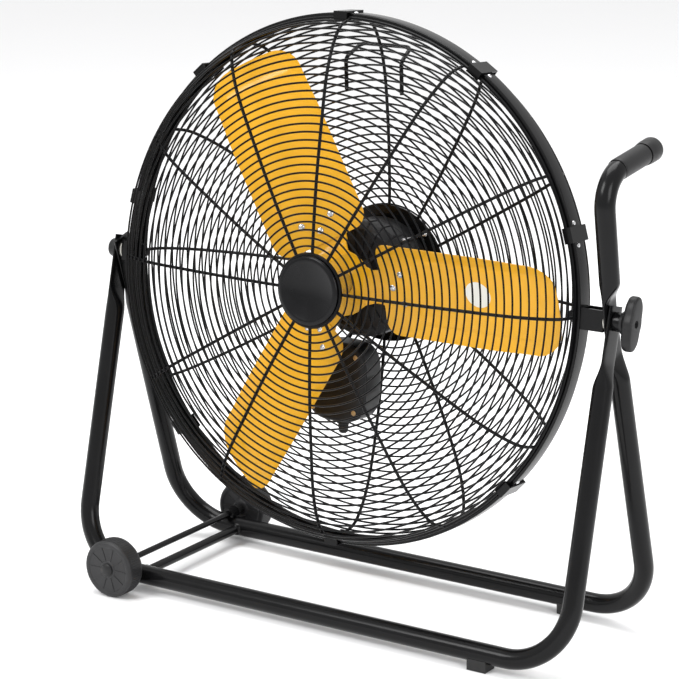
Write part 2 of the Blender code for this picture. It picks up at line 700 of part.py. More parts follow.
def blade(number, mats, axis):
    """A wide, pitched and slightly dished sheet blade with rounded corners."""
    root_corner = 0.020
    tip_corner = 0.030
    turn = math.tau * number / BLADE_COUNT
    out = Vector((math.cos(turn), 0, math.sin(turn)))
    round_way = Vector((-math.sin(turn), 0, math.cos(turn)))
    chord = round_way * math.cos(BLADE_PITCH) - AXIS_Y * math.sin(BLADE_PITCH)
    lift = out.cross(chord)
    stations = [(BLADE_ROOT + root_corner * (1 - math.cos(math.pi * i / 6)),
                 BLADE_HALF_CHORD - root_corner * (1 - math.sin(math.pi * i / 6)))
                for i in range(4)]
    stations += [(0.120, BLADE_HALF_CHORD), (0.165, BLADE_HALF_CHORD), (0.210, BLADE_HALF_CHORD),
                 (0.250, BLADE_HALF_CHORD - 0.001)]
    stations += [(BLADE_TIP - tip_corner * (1 - math.sin(math.pi * i / 6)),
                  BLADE_HALF_CHORD - 0.002 - tip_corner * (1 - math.cos(math.pi * i / 6)))
                 for i in range(4)]
    bm = bmesh.new()
    rows = []
    columns = len(BLADE_COLUMNS) - 1
    for reach, half in stations:
        row = []
        for k in range(columns + 1):
            v = half * BLADE_COLUMNS[k]
            edge = max(abs(v) / BLADE_HALF_CHORD - PANEL_EDGE, 0.0) / (1 - PANEL_EDGE)
            bow = BLADE_CAMBER * (1 - edge * edge)
            drop = v * v / (2 * BLADE_TIP) * max(0.0, (reach - 0.20) / (BLADE_TIP - 0.20))
            row.append(bm.verts.new(out * (reach - drop) + chord * v - lift * bow
                                    + AXIS_Y * BLADE_Y))
        rows.append(row)
    for low, high in zip(rows, rows[1:]):
        for k in range(columns):
            bm.faces.new((low[k], low[k + 1], high[k + 1], high[k]))
    sheet = add(f"blade_{number + 1}", bm, mats["blade"], axis)
    wall = sheet.modifiers.new("sheet", "SOLIDIFY")
    wall.thickness = BLADE_THICKNESS
    wall.offset = 0.0


def control_box(mats, head):
    """Moulded switch box below the motor, with its lid, switch, capacitor, knob and gland."""
    middle = Vector((BOX_DISTANCE * math.cos(BOX_ANGLE), 0, BOX_DISTANCE * math.sin(BOX_ANGLE)))

    def ring(half_width, half_height, depth):
        points = []
        for i in range(28):
            turn = math.tau * i / 28
            c, s = math.cos(turn), math.sin(turn)
            u = math.copysign(abs(c) ** 0.72, c) * half_width
            v = math.copysign(abs(s) ** 0.72, s) * half_height
            points.append(middle + Vector((u, depth, v)))
        return points

    w, h, t = BOX_HALF_WIDTH, BOX_HALF_HEIGHT, SHEET
    case = [ring(w - 0.004, h - 0.004, BOX_REAR), ring(w, h, BOX_REAR - 0.005),
            ring(w, h, BOX_SPLIT), ring(w - t, h - t, BOX_SPLIT),
            ring(w - t, h - t, BOX_REAR - 0.006), ring(w - 0.005 - t, h - 0.005 - t, BOX_REAR - t)]
    case = add("control_box", lofted(case), mats["plastic"], head)
    lid = [ring(w - 0.010, h - 0.010, BOX_FRONT), ring(w - 0.002, h - 0.002, BOX_FRONT + 0.003),
           ring(w, h, BOX_SPLIT - GAP)]
    add("control_box_lid", lofted(lid), mats["plastic"], head)

    stem_start = BOX_REAR + 0.003
    cut(case, rod(0.0045, BOX_REAR - 0.006, BOX_REAR + 0.004, AXIS_Y, middle, 12), head)
    switch = box((middle.x - 0.013, middle.x + 0.013), (BOX_REAR - 0.030, BOX_REAR - t - GAP),
                 (middle.z - 0.013, middle.z + 0.013))
    add("speed_switch", switch, mats["nylon"], head)
    capacitor = rod(0.0150, middle.x - 0.022, middle.x + 0.022, AXIS_X,
                    (0, 0.0600, middle.z + 0.0310), 16, 0.002)
    add("run_capacitor", capacitor, mats["nylon"], head)

    dial_axis = empty("speed_knob_axis", middle, parent=head)
    knob_start = 0.1010
    knob = [(0, stem_start - 0.0045), (0.0030, stem_start - 0.0045), (0.0030, knob_start),
            (0.0155, knob_start), (0.0145, knob_start + 0.010), (0.0125, knob_start + 0.012),
            (0, knob_start + 0.012)]
    add("speed_knob", turned(knob), mats["plastic"], dial_axis)

    bottom = middle.z - BOX_HALF_HEIGHT - GAP - 0.0004
    gland = [(0.0042, bottom), (0.0090, bottom), (0.0090, bottom - 0.005), (0.0070, bottom - 0.006),
             (0.0060, bottom - 0.016), (0.0042, bottom - 0.018)]
    add("cable_gland", turned(gland, AXIS_Z, (middle.x, 0.0600, 0), 16), mats["rubber"], head)


def materials():
    return {
        "tube": material("black_painted_tube", (0.012, 0.012, 0.013), 0.22),
        "wire": material("black_painted_wire", (0.012, 0.012, 0.013), 0.30),
        "blade": material("amber_painted_sheet", (0.90, 0.52, 0.02), 0.34),
        "gloss": material("black_gloss_badge", (0.008, 0.008, 0.009), 0.10),
        "plastic": material("black_moulded_plastic", (0.020, 0.020, 0.021), 0.48),
        "wheel": material("dark_moulded_wheel", (0.035, 0.035, 0.037), 0.55),
        "rubber": material("black_rubber", (0.018, 0.018, 0.018), 0.80),
        "nylon": material("white_nylon", (0.70, 0.69, 0.66), 0.50),
        "motor": material("black_motor_casting", (0.020, 0.020, 0.022), 0.42, 0.1),
        "steel": material("bare_steel", (0.45, 0.45, 0.46), 0.40, 1.0),
        "zinc": material("zinc_plated_steel", (0.62, 0.62, 0.63), 0.28, 1.0),
    }


def main():
    clear_scene()
    mats = materials()
    stand(mats)
    wheels(mats)
    head = empty("head_pivot", (0, PIVOT_Y, PIVOT_HEIGHT), (-HEAD_TILT, 0, 0))
    rim_band(mats, head)
    guard("front_guard", FRONT_GUARD, mats, head)
    guard("rear_guard", REAR_GUARD, mats, head)
    guard_clips(mats, head)
    badge(mats, head)
    rear_handle(mats, head)
    pivots(mats, head)
    tilt_knob(mats, head)
    pivot_cap(mats, head)
    motor(mats, head)
    rotor(mats, head)
    control_box(mats, head)
    assembly = empty("assembly", (0, 0, 0))
    for obj in bpy.data.objects:
        if obj.parent is None and obj is not assembly:
            obj.parent = assembly
    assembly.location.x = CENTRE_X


main()
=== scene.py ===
"""Looks for the high-velocity floor fan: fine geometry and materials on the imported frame."""

import math

import bmesh
import bpy
from mathutils import Matrix, Vector


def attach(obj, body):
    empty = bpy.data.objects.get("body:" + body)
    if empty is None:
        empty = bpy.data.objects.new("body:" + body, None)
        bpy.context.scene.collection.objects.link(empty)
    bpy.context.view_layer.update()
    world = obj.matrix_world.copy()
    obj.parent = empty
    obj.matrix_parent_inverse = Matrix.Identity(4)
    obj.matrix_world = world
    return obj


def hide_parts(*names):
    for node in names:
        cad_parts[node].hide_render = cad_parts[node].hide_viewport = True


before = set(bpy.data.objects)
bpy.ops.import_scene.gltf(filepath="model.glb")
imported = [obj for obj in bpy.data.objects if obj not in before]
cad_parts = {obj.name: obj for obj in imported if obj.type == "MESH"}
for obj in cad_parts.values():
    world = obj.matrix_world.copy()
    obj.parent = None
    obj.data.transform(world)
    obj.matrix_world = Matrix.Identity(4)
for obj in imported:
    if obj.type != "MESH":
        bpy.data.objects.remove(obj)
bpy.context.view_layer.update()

AXIS_X = Vector((1, 0, 0))
AXIS_Y = Vector((0, 1, 0))
AXIS_Z = Vector((0, 0, 1))

# Sizes shared with the CAD, in metres
GAP = 0.0003
BOLT_HOLE = 0.0046
CENTRE_X = -0.015
PIVOT_Y = -0.008
PIVOT_HEIGHT = 0.426
HEAD_TILT = math.radians(4)
STAND_X = 0.008
LEG_X = 0.364
TUBE_RADIUS = 0.0125
BASE_HALF_DEPTH = 0.112
BASE_HEIGHT = 0.021
BEND_RADIUS = 0.080
FLAT_REACH = 0.046
TAPER_LENGTH = 0.036
PLATE_HALF_WIDTH = 0.0160
PLATE_HALF_THICKNESS = 0.0020
PLATE_REACH = 0.018
GRIP_FLAT_REACH = 0.022
GRIP_TAPER = 0.028
GRIP_LEAN = math.radians(10)
GRIP_RISE = math.radians(7)
GRIP_CORNER = 0.178
GRIP_BEND = 0.040
GRIP_LENGTH = 0.124
INNER_PLATE = LEG_X - 0.0043
OUTER_PLATE = LEG_X + 0.0001
STACK_END = LEG_X + 0.0044
SPACER_END = STACK_END + 0.010
KNOB_END = LEG_X + 0.032
CAP_NUT_END = LEG_X + 0.018
WHEEL_RADIUS = 0.038
AXLE_RADIUS = 0.004
WHEEL_X = -0.274
WHEEL_Y = 0.148
AXLE_END = WHEEL_Y + 0.0175
WHEEL_HALF_WIDTH = 0.0145
BRACE_X = -0.257
BRACE_RADIUS = 0.006
RIM_RADIUS = 0.335
RIM_HALF_WIDTH = 0.0115
RIM_WALL = 0.0016
RIM_FLANGE = 0.0075
BADGE_RADIUS = 0.0435
BADGE_FRONT = -0.0905
BADGE_BOSS = -0.0818
BLADE_TIP = 0.306
BLADE_ROOT = 0.056
BLADE_PITCH = math.radians(20)
BLADE_CAMBER = 0.007
BLADE_Y = -0.014
PANEL_EDGE = 0.48
CLIP_ANGLES = (92, 57, 17, -42, -90, -138, 167, 132)
MOTOR_RADIUS = 0.074
MOTOR_FRONT = 0.020
MOTOR_SPLIT = 0.0545
MOTOR_REAR = 0.0885
BOX_ANGLE = math.radians(-105)
BOX_DISTANCE = 0.1450
BOX_HALF_WIDTH = 0.045
BOX_HALF_HEIGHT = 0.052
BOX_FRONT = 0.034
BOX_SPLIT = 0.041
BOX_REAR = 0.079

ASSEMBLY = Matrix.Translation((CENTRE_X, 0, 0))
HEAD = Matrix.Translation((CENTRE_X, PIVOT_Y, PIVOT_HEIGHT)) @ Matrix.Rotation(-HEAD_TILT, 4, "X")


# ---------------------------------------------------------------- materials

def shader_material(name, color, roughness, metallic=0.0, coat=0.0, coat_roughness=0.08,
                    mottle=0.10, mottle_scale=18.0, bump=0.0, bump_scale=400.0,
                    rough_spread=0.06, specular=0.5, stretch=(1, 1, 1)):
    """A painted, plated or moulded surface with a slightly uneven tone, gloss and relief."""
    mat = bpy.data.materials.new(name)
    mat.use_nodes = True
    nodes, links = mat.node_tree.nodes, mat.node_tree.links
    shader = nodes["Principled BSDF"]
    coords = nodes.new("ShaderNodeTexCoord")
    mapping = nodes.new("ShaderNodeMapping")
    mapping.inputs["Scale"].default_value = stretch
    links.new(coords.outputs["Object"], mapping.inputs["Vector"])
    noise = nodes.new("ShaderNodeTexNoise")
    noise.inputs["Scale"].default_value = mottle_scale
    noise.inputs["Detail"].default_value = 4
    links.new(mapping.outputs["Vector"], noise.inputs["Vector"])
    ramp = nodes.new("ShaderNodeValToRGB")
    low = [c * (1 - mottle) for c in color]
    high = [min(1.0, c * (1 + mottle)) for c in color]
    ramp.color_ramp.elements[0].position = 0.35
    ramp.color_ramp.elements[0].color = (*low, 1)
    ramp.color_ramp.elements[1].position = 0.65
    ramp.color_ramp.elements[1].color = (*high, 1)
    links.new(noise.outputs["Fac"], ramp.inputs["Fac"])
    links.new(ramp.outputs["Color"], shader.inputs["Base Color"])
    spread = nodes.new("ShaderNodeMapRange")
    spread.inputs["To Min"].default_value = max(0.02, roughness - rough_spread)
    spread.inputs["To Max"].default_value = min(1.0, roughness + rough_spread)
    links.new(noise.outputs["Fac"], spread.inputs["Value"])
    links.new(spread.outputs["Result"], shader.inputs["Roughness"])
    if bump:
        grain = nodes.new("ShaderNodeTexNoise")
        grain.inputs["Scale"].default_value = bump_scale
        grain.inputs["Detail"].default_value = 3
        links.new(mapping.outputs["Vector"], grain.inputs["Vector"])
        relief = nodes.new("ShaderNodeBump")
        relief.inputs["Strength"].default_value = bump
        relief.inputs["Distance"].default_value = 0.0004
        links.new(grain.outputs["Fac"], relief.inputs["Height"])
        links.new(relief.outputs["Normal"], shader.inputs["Normal"])
    shader.inputs["Metallic"].default_value = metallic
    shader.inputs["Coat Weight"].default_value = coat
    shader.inputs["Coat Roughness"].default_value = coat_roughness
    shader.inputs["Specular IOR Level"].default_value = specular
    return mat


ENAMEL = shader_material("gloss_black_enamel", (0.0040, 0.0040, 0.0043), 0.20,
                         specular=0.18, bump=0.04, bump_scale=260, mottle=0.15)
WIRE_BLACK = shader_material("black_coated_wire", (0.0040, 0.0040, 0.0044), 0.34, specular=0.14,
                             mottle=0.15, mottle_scale=40)
AMBER = shader_material("amber_paint", (0.80, 0.395, 0.002), 0.30, coat=0.12, coat_roughness=0.15,
                        bump=0.05, bump_scale=220, mottle=0.045, mottle_scale=7)
GLOSS = shader_material("gloss_black_badge", (0.0045, 0.0045, 0.005), 0.20, specular=0.16,
                        mottle=0.2, mottle_scale=30)
PLASTIC = shader_material("black_moulding", (0.008, 0.008, 0.0085), 0.44, specular=0.3, bump=0.18,
                          bump_scale=1500, mottle=0.15)
GRIP = shader_material("black_grip_moulding", (0.007, 0.007, 0.0075), 0.46, specular=0.3, bump=0.30,
                       bump_scale=1200, mottle=0.2)
WHEEL = shader_material("dark_wheel_moulding", (0.016, 0.016, 0.017), 0.46, specular=0.35, bump=0.20,
                        bump_scale=1100, mottle=0.15)
RUBBER = shader_material("black_rubber", (0.014, 0.014, 0.014), 0.78, bump=0.35, bump_scale=900,
                         mottle=0.25)
NYLON = shader_material("natural_nylon", (0.62, 0.60, 0.55), 0.48, bump=0.08, mottle=0.05)
MOTOR = shader_material("satin_black_motor", (0.008, 0.008, 0.009), 0.40, specular=0.3, bump=0.22,
                        bump_scale=700, mottle=0.2)
STEEL = shader_material("bare_steel", (0.42, 0.42, 0.43), 0.38, metallic=1.0, mottle=0.12,
                        stretch=(1, 6, 1))
ZINC = shader_material("bright_zinc", (0.66, 0.66, 0.67), 0.25, metallic=1.0, mottle=0.10,
                       mottle_scale=60)
LABEL = shader_material("pale_label", (0.78, 0.76, 0.70), 0.45, mottle=0.03)
BRASSY = shader_material("tan_boss", (0.48, 0.30, 0.12), 0.45, mottle=0.12)


# ---------------------------------------------------------------- mesh helpers

def add(name, bm, mat, body, place=ASSEMBLY, replaces=(), smooth=35):
    """Makes the object, puts it where it belongs and lets it ride on its body."""
    bmesh.ops.recalc_face_normals(bm, faces=bm.faces)
    mesh = bpy.data.meshes.new(name)
    bm.to_mesh(mesh)
    bm.free()
    mesh.materials.append(mat)
    mesh.shade_smooth()
    mesh.set_sharp_from_angle(angle=math.radians(smooth))
    obj = bpy.data.objects.new(name, mesh)
    bpy.context.scene.collection.objects.link(obj)
    obj.matrix_world = place
    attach(obj, body)
    if replaces:
        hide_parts(*([replaces] if isinstance(replaces, str) else replaces))
    return obj


def across(axis):
    """Two unit directions square to the axis and to each other."""
    helper = AXIS_Z if abs(axis.z) < 0.9 else AXIS_X
    first = axis.cross(helper).normalized()
    return first, axis.cross(first)


def turned(outline, axis=AXIS_Y, centre=(0, 0, 0), steps=64, bm=None):
    """Surface of revolution of (radius, distance) points; ends on the axis are closed."""
    bm = bm or bmesh.new()
    centre = Vector(centre)
    a, b = across(axis)
    closed = outline[0][0] > 0
    rings = []
    for r, d in outline:
        if r <= 1e-9:
            rings.append([bm.verts.new(centre + axis * d)])
            continue
        rings.append([bm.verts.new(centre + axis * d + a * (r * math.cos(math.tau * i / steps))
                                   + b * (r * math.sin(math.tau * i / steps)))
                      for i in range(steps)])
    pairs = list(zip(rings, rings[1:]))
    if closed:
        pairs.append((rings[-1], rings[0]))
    for low, high in pairs:
        for i in range(steps):
            j = (i + 1) % steps
            quad = [low[i % len(low)], low[j % len(low)], high[j % len(high)], high[i % len(high)]]
            unique = list(dict.fromkeys(quad))
            if len(unique) > 2:
                bm.faces.new(unique)
    return bm


def rod(radius, start, end, axis=AXIS_Y, centre=(0, 0, 0), steps=32, chamfer=0.0005, bm=None):
    """A cylinder with a small chamfer at each end."""
    c = min(chamfer, radius / 3)
    outline = [(0, start), (radius - c, start), (radius, start + c), (radius, end - c),
               (radius - c, end), (0, end)]
    return turned(outline, axis, centre, steps, bm)


def rounded_outline(points, radius, steps=4):
    """The closed (r, d) outline with each corner rounded."""
    count = len(points)
    out = []
    for i, (r, d) in enumerate(points):
        here = Vector((r, d))
        before = Vector(points[i - 1]) - here
        after = Vector(points[(i + 1) % count]) - here
        reach = min(radius, before.length * 0.45, after.length * 0.45)
        start = here + before.normalized() * reach
        end = here + after.normalized() * reach
        for k in range(steps + 1):
            t = k / steps
            point = start.lerp(here, t).lerp(here.lerp(end, t), t)
            out.append((point.x, point.y))
    return out


def lofted(rings):
    """A skin over rings of equally many points, with both ends closed."""
    bm = bmesh.new()
    loops = [[bm.verts.new(point) for point in ring] for ring in rings]
    count = len(loops[0])
    for low, high in zip(loops, loops[1:]):
        for i in range(count):
            j = (i + 1) % count
            bm.faces.new((low[i], low[j], high[j], high[i]))
    bm.faces.new(loops[0][::-1])
    bm.faces.new(loops[-1])
    return bm


def arc(centre, start, end, radius, steps):
    """Points from the start direction to the end direction, round a centre."""
    turn = start.angle(end)
    points = []
    for i in range(steps + 1):
        t = turn * i / steps
        side = (start * math.sin(turn - t) + end * math.sin(t)) / math.sin(turn)
        points.append(centre + side * radius)
    return points


def rounded_corner(before, corner, after, radius, steps=16):
    """The arc that rounds a corner of a path."""
    back = (before - corner).normalized()
    on = (after - corner).normalized()
    half = back.angle(on) / 2
    middle = corner + (back + on).normalized() * (radius / math.sin(half))
    first = corner + back * (radius / math.tan(half))
    last = corner + on * (radius / math.tan(half))
    return arc(middle, (first - middle).normalized(), (last - middle).normalized(), radius, steps)


def wire(points, radius, sides=8, bm=None):
    """A round wire along points, with a frame that doesn't twist."""
    bm = bm or bmesh.new()
    count = len(points)
    rings = []
    normal = None
    for i, point in enumerate(points):
        ahead = points[min(i + 1, count - 1)] - points[max(i - 1, 0)]
        ahead.normalize()
        if normal is None:
            normal, _ = across(ahead)
        normal = (normal - ahead * normal.dot(ahead)).normalized()
        other = ahead.cross(normal)
        rings.append([bm.verts.new(point + normal * (radius * math.cos(math.tau * k / sides))
                                   + other * (radius * math.sin(math.tau * k / sides)))
                      for k in range(sides)])
    for low, high in zip(rings, rings[1:]):
        for k in range(sides):
            m = (k + 1) % sides
            bm.faces.new((low[k], low[m], high[m], high[k]))
    bm.faces.new(rings[0][::-1])
    bm.faces.new(rings[-1])
    return bm


def ring_wire(bm, radius, depth, thickness, steps, sides=6):
    """A circle of wire about the fan axis."""
    rings = []
    for i in range(steps):
        turn = math.tau * i / steps
        out = Vector((math.cos(turn), 0, math.sin(turn)))
        centre = out * radius + AXIS_Y * depth
        rings.append([bm.verts.new(centre + out * (thickness * math.cos(math.tau * k / sides))
                                   + AXIS_Y * (thickness * math.sin(math.tau * k / sides)))
                      for k in range(sides)])
    for i in range(steps):
        low, high = rings[i], rings[(i + 1) % steps]
        for k in range(sides):
            m = (k + 1) % sides
            bm.faces.new((low[k], high[k], high[m], low[m]))


def prism(outline, start, end, place, bm=None):
    """A flat outline given thickness; place(u, v, w) gives the point."""
    bm = bm or bmesh.new()
    low = [bm.verts.new(place(u, v, start)) for u, v in outline]
    high = [bm.verts.new(place(u, v, end)) for u, v in outline]
    count = len(outline)
    bm.faces.new(low[::-1])
    bm.faces.new(high)
    for i in range(count):
        j = (i + 1) % count
        bm.faces.new((low[i], low[j], high[j], high[i]))
    return bm


def bevelled(obj, width, segments=2):
    """Rounds the object's hard edges."""
    bevel = obj.modifiers.new("soft_edges", "BEVEL")
    bevel.width = width
    bevel.segments = segments
    bevel.limit_method = "ANGLE"
    bevel.angle_limit = math.radians(40)
    return obj


def domed_head(radius, height, base, axis, centre, bm=None, steps=20):
    """A rivet or screw head."""
    outline = [(0, base), (radius, base)]
    for k in range(1, 5):
        t = math.pi / 2 * k / 5
        outline.append((radius * math.cos(t), base + height * math.sin(t)))
    outline.append((0, base + height))
    return turned(outline, axis, centre, steps, bm)


def dress(name, mat, width=0.0, segments=2):
    """Gives a CAD node its material and, where it has hard edges, a small round on them."""
    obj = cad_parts[name]
    obj.data.materials.clear()
    obj.data.materials.append(mat)
    obj.data.shade_smooth()
    obj.data.set_sharp_from_angle(angle=math.radians(32))
    if width:
        bevelled(obj, width, segments)
    return obj


# ---------------------------------------------------------------- stand tubes

def flattening(distance, reach=FLAT_REACH, taper=TAPER_LENGTH):
    """How flat the tube is at a distance from a pivot: 1 in the plate, 0 in the round tube."""
    t = min(max((distance - reach) / taper, 0.0), 1.0)
    return 1 - t * t * (3 - 2 * t)


def run(start, end, steps):
    """Evenly spaced points on a straight run, without its end."""
    return [start.lerp(end, i / steps) for i in range(steps)]


def loop_points(base_y, with_grip):
    """A base tube's centreline, from its left end to its right end or to the end of the grip."""
    pivot = Vector((0, PIVOT_Y, PIVOT_HEIGHT))
    up = (pivot - Vector((0, base_y, BASE_HEIGHT))).normalized()
    left, right = STAND_X - LEG_X, STAND_X + LEG_X
    top_left = Vector((left, PIVOT_Y, PIVOT_HEIGHT))
    top_right = Vector((right, PIVOT_Y, PIVOT_HEIGHT))
    low_left = Vector((left, base_y, BASE_HEIGHT))
    low_right = Vector((right, base_y, BASE_HEIGHT))
    far = FLAT_REACH + TAPER_LENGTH
    points = run(top_left + up * PLATE_REACH, top_left - up * far, 28)
    points.append(top_left - up * far)
    points += rounded_corner(top_left, low_left, low_right, BEND_RADIUS, 18)
    points += rounded_corner(low_left, low_right, top_right, BEND_RADIUS, 18)
    if not with_grip:
        points += run(top_right - up * far, top_right + up * PLATE_REACH, 28)
        points.append(top_right + up * PLATE_REACH)
        return points
    points += run(top_right - up * far, top_right, 22)
    upward = Vector((0, -math.sin(GRIP_LEAN), math.cos(GRIP_LEAN)))
    backward = Vector((0, math.cos(GRIP_RISE), math.sin(GRIP_RISE)))
    corner = top_right + upward * GRIP_CORNER
    far = GRIP_FLAT_REACH + GRIP_TAPER
    points += run(top_right, top_right + upward * far, 16)
    points.append(top_right + upward * far)
    points += rounded_corner(top_right, corner, corner + backward, GRIP_BEND, 16)
    points.append(corner + backward * GRIP_LENGTH)
    return points


def tube(name, base_y, plate_middle, with_grip):
    """A bent round tube whose ends are pressed flat round the pivot bolt."""
    pivot = Vector((0, PIVOT_Y, PIVOT_HEIGHT))
    points = loop_points(base_y, with_grip)
    shift = plate_middle - LEG_X
    side = AXIS_Y
    sides = 32
    rings = []
    for i, point in enumerate(points):
        ahead = points[min(i + 1, len(points) - 1)] - points[max(i - 1, 0)]
        ahead.normalize()
        side = (side - ahead * side.dot(ahead)).normalized()
        thin = ahead.cross(side)
        away = (Vector((0, point.y, point.z)) - pivot).length
        flat = flattening(away)
        if point.z > PIVOT_HEIGHT and with_grip and point.x > 0:
            flat = flattening(away, GRIP_FLAT_REACH, GRIP_TAPER)
        wide = TUBE_RADIUS + (PLATE_HALF_WIDTH - TUBE_RADIUS) * flat
        thick = TUBE_RADIUS + (PLATE_HALF_THICKNESS - TUBE_RADIUS) * flat
        centre = point + AXIS_X * (shift * flat * math.copysign(1, point.x - STAND_X))
        power = 1 - 0.45 * flat
        ring = []
        for k in range(sides):
            c, s = math.cos(math.tau * k / sides), math.sin(math.tau * k / sides)
            u = math.copysign(abs(c) ** power, c) * wide
            v = math.copysign(abs(s) ** power, s) * thick
            ring.append(centre + side * u + thin * v)
        rings.append(ring)
    add(name, lofted(rings), ENAMEL, "stand", smooth=50,
        replaces="front_base_tube" if base_y < 0 else "rear_base_tube")
    return points[-1], points[-2]


tube("front_tube_fine", -BASE_HALF_DEPTH, OUTER_PLATE + PLATE_HALF_THICKNESS, False)
grip_end, grip_before = tube("rear_tube_fine", BASE_HALF_DEPTH,
                             INNER_PLATE + PLATE_HALF_THICKNESS, True)
grip_along = (grip_end - grip_before).normalized()

grip_outline = [(0.0126, -0.0890), (0.0130, -0.0885), (0.0134, -0.0860), (0.0134, -0.026),
                (0.0126, -0.0255)]
add("grip_sleeve", turned(rounded_outline(grip_outline, 0.0002), grip_along, grip_end, 48), GRIP,
    "stand")
cap_outline = [(0, 0.0025), (0.0118, 0.0025), (0.0142, 0.0014), (0.0149, -0.0008),
               (0.0149, -0.0150), (0.0140, -0.0240), (0.0128, -0.0240), (0.0128, -0.001), (0, -0.001)]
add("grip_cap_fine", turned(cap_outline, grip_along, grip_end, 48), PLASTIC, "stand",
    replaces="grip_end_cap")

brace_reach = BASE_HALF_DEPTH - TUBE_RADIUS + 0.0015
brace = rod(BRACE_RADIUS, -brace_reach, brace_reach, AXIS_Y, (BRACE_X, 0, BASE_HEIGHT), 32)
add("brace_fine", brace, ENAMEL, "stand", replaces="cross_brace")
beads = bmesh.new()
for side in (-1, 1):
    bead = [(0.0058, side * (BASE_HALF_DEPTH - 0.0165)), (0.0078, side * (BASE_HALF_DEPTH - 0.0150)),
            (0.0088, side * (BASE_HALF_DEPTH - 0.0125)), (0.0086, side * (BASE_HALF_DEPTH - 0.0095)),
            (0.0058, side * (BASE_HALF_DEPTH - 0.0080))]
    turned(bead, AXIS_Y, (BRACE_X, 0, BASE_HEIGHT), 32, beads)
add("brace_weld_beads", beads, ENAMEL, "stand")

for side in ("front", "rear"):
    dress("foot_" + side, RUBBER, 0.0012)
    dress("axle_saddle_" + side, ENAMEL, 0.0005)
    dress("axle_spacer_" + side, PLASTIC, 0.0004)
axle_centre = (WHEEL_X, 0, WHEEL_RADIUS)
add("axle_fine", rod(AXLE_RADIUS, -AXLE_END, AXLE_END, AXIS_Y, axle_centre, 32), ENAMEL,
    "stand", replaces="wheel_axle")
for name, side in (("front", -1), ("rear", 1)):
    start = WHEEL_Y + WHEEL_HALF_WIDTH + GAP
    cap = [(0, start), (0.0085, start), (0.0085, start + 0.0010), (0.0072, start + 0.0022),
           (0.0045, start + 0.0031), (0, start + 0.0036)]
    add("axle_cap_fine_" + name, turned([(r, side * d) for r, d in cap], AXIS_Y, axle_centre, 40),
        PLASTIC, "stand", replaces="axle_cap_" + name)


# ---------------------------------------------------------------- wheels

TREAD_RIBS = 72
FACE_RIBS = 10


def wheel(name, side):
    """A disc wheel with ten faint ribs on each face and a fine tread."""
    half = WHEEL_HALF_WIDTH
    radius = WHEEL_RADIUS
    centre = Vector((WHEEL_X, side * WHEEL_Y, WHEEL_RADIUS))
    face = [(0.0044, -half + 0.0002), (0.0110, -half + 0.0002), (0.0122, -half + 0.0014),
            (0.0295, -half + 0.0014), (0.0310, -half + 0.0004), (radius - 0.0035, -half + 0.0004),
            (radius - 0.0010, -half + 0.0024), (radius - 0.0005, -half + 0.0060)]
    outline = rounded_outline(face + [(r, -d) for r, d in reversed(face)], 0.0010, 3)
    bm = turned(outline, AXIS_Y, centre, 96)
    add("wheel_fine_" + name, bm, WHEEL, "wheel_" + name, replaces="wheel_" + name,
        smooth=40)
    detail = bmesh.new()
    for k in range(TREAD_RIBS):
        turn = math.tau * k / TREAD_RIBS
        out = Vector((math.cos(turn), 0, math.sin(turn)))
        round_way = Vector((-math.sin(turn), 0, math.cos(turn)))
        block = [(-0.0007, radius - 0.0012), (0.0007, radius - 0.0012), (0.0005, radius),
                 (-0.0005, radius)]
        prism(block, -half + 0.0058, half - 0.0058,
              lambda u, v, w: centre + round_way * u + out * v + AXIS_Y * w, detail)
    for face_side in (-1, 1):
        for k in range(FACE_RIBS):
            turn = math.tau * k / FACE_RIBS
            out = Vector((math.cos(turn), 0, math.sin(turn)))
            round_way = Vector((-math.sin(turn), 0, math.cos(turn)))
            web = [(-0.0012, 0.0115), (0.0012, 0.0115), (0.0007, 0.0300), (-0.0007, 0.0300)]
            ends = sorted((face_side * (half - 0.0030), face_side * (half - 0.0008)))
            prism(web, ends[0], ends[1],
                  lambda u, v, w: centre + round_way * u + out * v + AXIS_Y * w, detail)
    add("wheel_ribs_" + name, detail, WHEEL, "wheel_" + name)


wheel("front", -1)
wheel("rear", 1)


# ---------------------------------------------------------------- ring and guards

half = RIM_HALF_WIDTH
lip = RIM_RADIUS - RIM_FLANGE
web = RIM_RADIUS - RIM_WALL
rim_line = [(RIM_RADIUS, -half), (RIM_RADIUS, half), (lip, half), (lip, half - RIM_WALL),
            (web, half - RIM_WALL), (web, RIM_WALL - half), (lip, RIM_WALL - half), (lip, -half)]
add("rim_fine", turned(rounded_outline(rim_line, 0.0018, 4), AXIS_Y, (0, 0, 0), 256), ENAMEL, "head",
    place=HEAD, replaces="rim_band", smooth=50)

FRONT_GUARD = ((0.3290, -0.0142), (0.3160, -0.0420), (0.2700, -0.0630),
               (0.1950, -0.0740), (0.1200, -0.0810), (0.0450, -0.0840))
REAR_GUARD = ((0.3290, 0.0142), (0.3160, 0.0440), (0.2700, 0.0690),
              (0.1950, 0.0845), (0.1200, 0.0932), (0.0780, 0.0952))
WIRE_PITCH = 0.0100
RING_RADIUS = 0.0013
EDGE_RING_RADIUS = 0.0024
SPOKE_RADIUS = 0.0021
SPOKES = 12
SPOKE_OVERLAP = 0.0004


def smooth_line(points, steps=24):
    """A Catmull-Rom line through (radius, depth) points."""
    knots = [Vector(p) for p in points]
    knots = [knots[0] * 2 - knots[1]] + knots + [knots[-1] * 2 - knots[-2]]
    line = []
    for a, b, c, d in zip(knots, knots[1:], knots[2:], knots[3:]):
        for i in range(steps):
            t = i / steps
            line.append(0.5 * (2 * b + (c - a) * t + (2 * a - 5 * b + 4 * c - d) * t * t
                               + (3 * b - a - 3 * c + d) * t ** 3))
    line.append(knots[-2])
    return line


